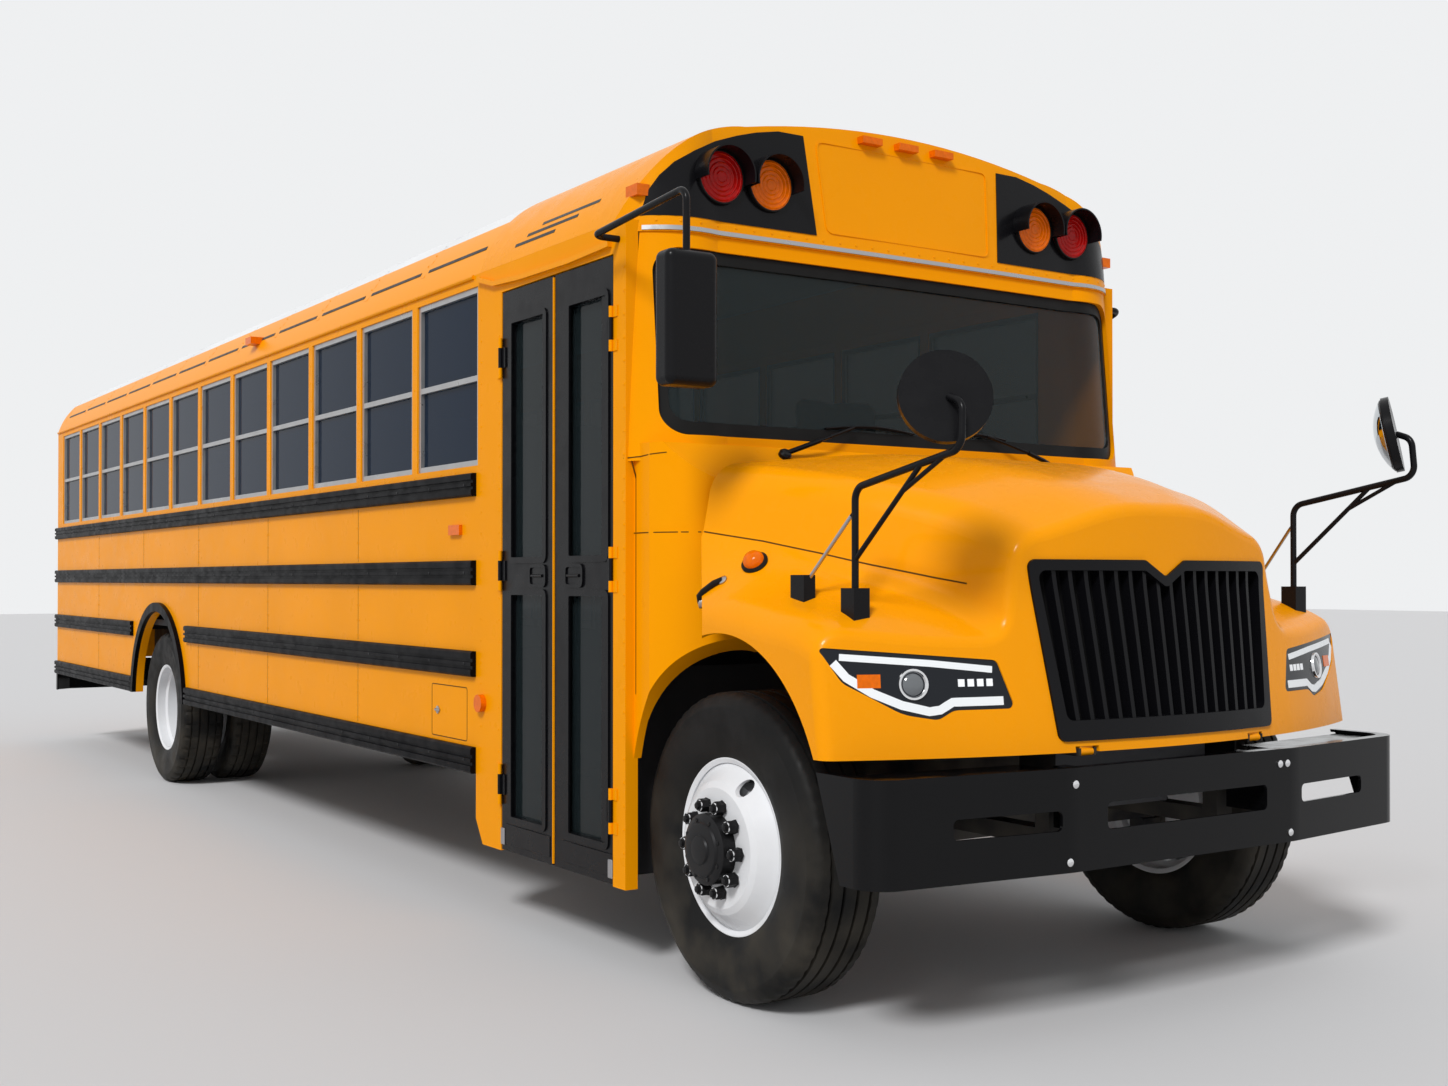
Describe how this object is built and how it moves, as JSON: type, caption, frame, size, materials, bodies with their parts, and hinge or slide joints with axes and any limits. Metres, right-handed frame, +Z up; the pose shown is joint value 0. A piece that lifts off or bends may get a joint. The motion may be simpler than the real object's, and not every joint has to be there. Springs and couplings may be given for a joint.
{
  "type": "school bus",
  "caption": "Conventional school bus with a tilting hood, split entrance door, side windows, rear door, stop arm, steered front wheels and twin rear wheels.",
  "frame": {"origin": "on the ground under the middle of the bus's overall length and width", "axes": "+X forwards, +Y to the bus's left, +Z up"},
  "size_m": [11.4571, 2.83, 3.0977],
  "materials": {
    "chassis_black": "satin",
    "floor_rubber": "matt",
    "body_yellow": "gloss",
    "roof_paint": "gloss",
    "cap_yellow": "gloss",
    "hood_yellow": "gloss",
    "window_glass": "polished",
    "window_aluminium": "satin",
    "rail_black": "satin",
    "bumper_black": "gloss",
    "door_black": "satin",
    "interior_plastic": "matt",
    "seat_vinyl": "satin",
    "lens_red": "gloss",
    "lens_amber": "gloss",
    "trim_black": "gloss",
    "mirror_black": "satin",
    "axle_iron": "satin",
    "engine_grey": "matt",
    "radiator_aluminium": "matt",
    "tank_steel": "satin",
    "exhaust_steel": "matt",
    "lamp_glass": "gloss",
    "tyre_rubber": "matt",
    "wheel_white": "gloss",
    "sign_red": "gloss"
  },
  "bodies": {
    "bus": {"frame_rails": "chassis_black", "floor_and_steps": "floor_rubber", "right_wall": "body_yellow", "left_wall": "body_yellow", "roof": "roof_paint", "front_cap": "cap_yellow", "cowl": "body_yellow", "windscreen": "window_glass", "rear_wall": "body_yellow", "window_glass": "window_glass", "window_frames": "window_aluminium", "rub_rails": "rail_black", "front_bumper": "bumper_black", "rear_bumper": "bumper_black", "dashboard": "interior_plastic", "seats": "seat_vinyl", "red_lamps": "lens_red", "amber_lamps": "lens_amber", "lamp_hoods": "trim_black", "rear_view_mirrors": "mirror_black", "wipers": "trim_black", "front_axle": "axle_iron", "rear_axle": "axle_iron", "engine": "engine_grey", "radiator": "radiator_aluminium", "fuel_tank": "tank_steel", "exhaust": "exhaust_steel"},
    "hood": {"hood_and_fenders": "hood_yellow", "grille": "trim_black", "headlamps": "lamp_glass", "crossview_mirrors": "mirror_black"},
    "door_rear_leaf": {"door_leaf_rear": "door_black", "door_glass_rear": "window_glass"},
    "door_front_leaf": {"door_leaf_front": "door_black", "door_glass_front": "window_glass"},
    "rear_door": {"rear_door": "body_yellow", "rear_door_glass": "window_glass"},
    "stop_arm": {"stop_arm": "sign_red"},
    "steering_wheel": {"steering_wheel": "interior_plastic"},
    "knuckle_right": {"knuckle_right": "axle_iron"},
    "knuckle_left": {"knuckle_left": "axle_iron"},
    "front_wheel_right": {"front_tyre_right": "tyre_rubber", "front_wheel_right": "wheel_white"},
    "front_wheel_left": {"front_tyre_left": "tyre_rubber", "front_wheel_left": "wheel_white"},
    "rear_wheels_right": {"rear_tyres_right": "tyre_rubber", "rear_wheels_right": "wheel_white"},
    "rear_wheels_left": {"rear_tyres_left": "tyre_rubber", "rear_wheels_left": "wheel_white"}
  },
  "joints": [
    {"name": "hood_tilt", "type": "hinge", "parent": "bus", "child": "hood", "pos_m": [5.5464, 0, 0.85], "axis": [0, 1, 0], "range_deg": [0, 62]},
    {"name": "door_rear_swing", "type": "hinge", "parent": "bus", "child": "door_rear_leaf", "pos_m": [3.1784, -1.227, 1.4], "axis": [0, 0, -1], "range_deg": [0, 90]},
    {"name": "door_front_swing", "type": "hinge", "parent": "bus", "child": "door_front_leaf", "pos_m": [4.0804, -1.227, 1.4], "axis": [0, 0, 1], "range_deg": [0, 90]},
    {"name": "rear_door_swing", "type": "hinge", "parent": "bus", "child": "rear_door", "pos_m": [-5.5966, -0.327, 1.8], "axis": [0, 0, 1], "range_deg": [0, 100]},
    {"name": "stop_arm_swing", "type": "hinge", "parent": "bus", "child": "stop_arm", "pos_m": [2.8599, 1.259, 1.59], "axis": [0, 0, -1], "range_deg": [0, 90]},
    {"name": "steer_right", "type": "hinge", "parent": "bus", "child": "knuckle_right", "pos_m": [4.6714, -0.85, 0.505], "axis": [0, 0, 1], "range_deg": [-40, 40]},
    {"name": "steer_left", "type": "hinge", "parent": "bus", "child": "knuckle_left", "pos_m": [4.6714, 0.85, 0.505], "axis": [0, 0, 1], "range_deg": [-40, 40]},
    {"name": "steering_wheel_turn", "type": "hinge", "parent": "bus", "child": "steering_wheel", "pos_m": [3.7814, 0.56, 1.905], "axis": [-0.788, 0, 0.6157], "range_deg": [-720, 720]},
    {"name": "front_wheel_right_spin", "type": "hinge", "parent": "knuckle_right", "child": "front_wheel_right", "pos_m": [4.6714, -1.002, 0.505], "axis": [0, 1, 0], "continuous": true},
    {"name": "front_wheel_left_spin", "type": "hinge", "parent": "knuckle_left", "child": "front_wheel_left", "pos_m": [4.6714, 1.002, 0.505], "axis": [0, 1, 0], "continuous": true},
    {"name": "rear_wheels_right_spin", "type": "hinge", "parent": "bus", "child": "rear_wheels_right", "pos_m": [-2.1866, -0.886, 0.505], "axis": [0, 1, 0], "continuous": true},
    {"name": "rear_wheels_left_spin", "type": "hinge", "parent": "bus", "child": "rear_wheels_left", "pos_m": [-2.1866, 0.886, 0.505], "axis": [0, 1, 0], "continuous": true}
  ],
  "couplings": [
    {"joint": "door_front_swing", "follows": "door_rear_swing", "ratio": 1},
    {"joint": "steer_left", "follows": "steer_right", "ratio": 1},
    {"joint": "steering_wheel_turn", "follows": "steer_right", "ratio": 18}
  ]
}
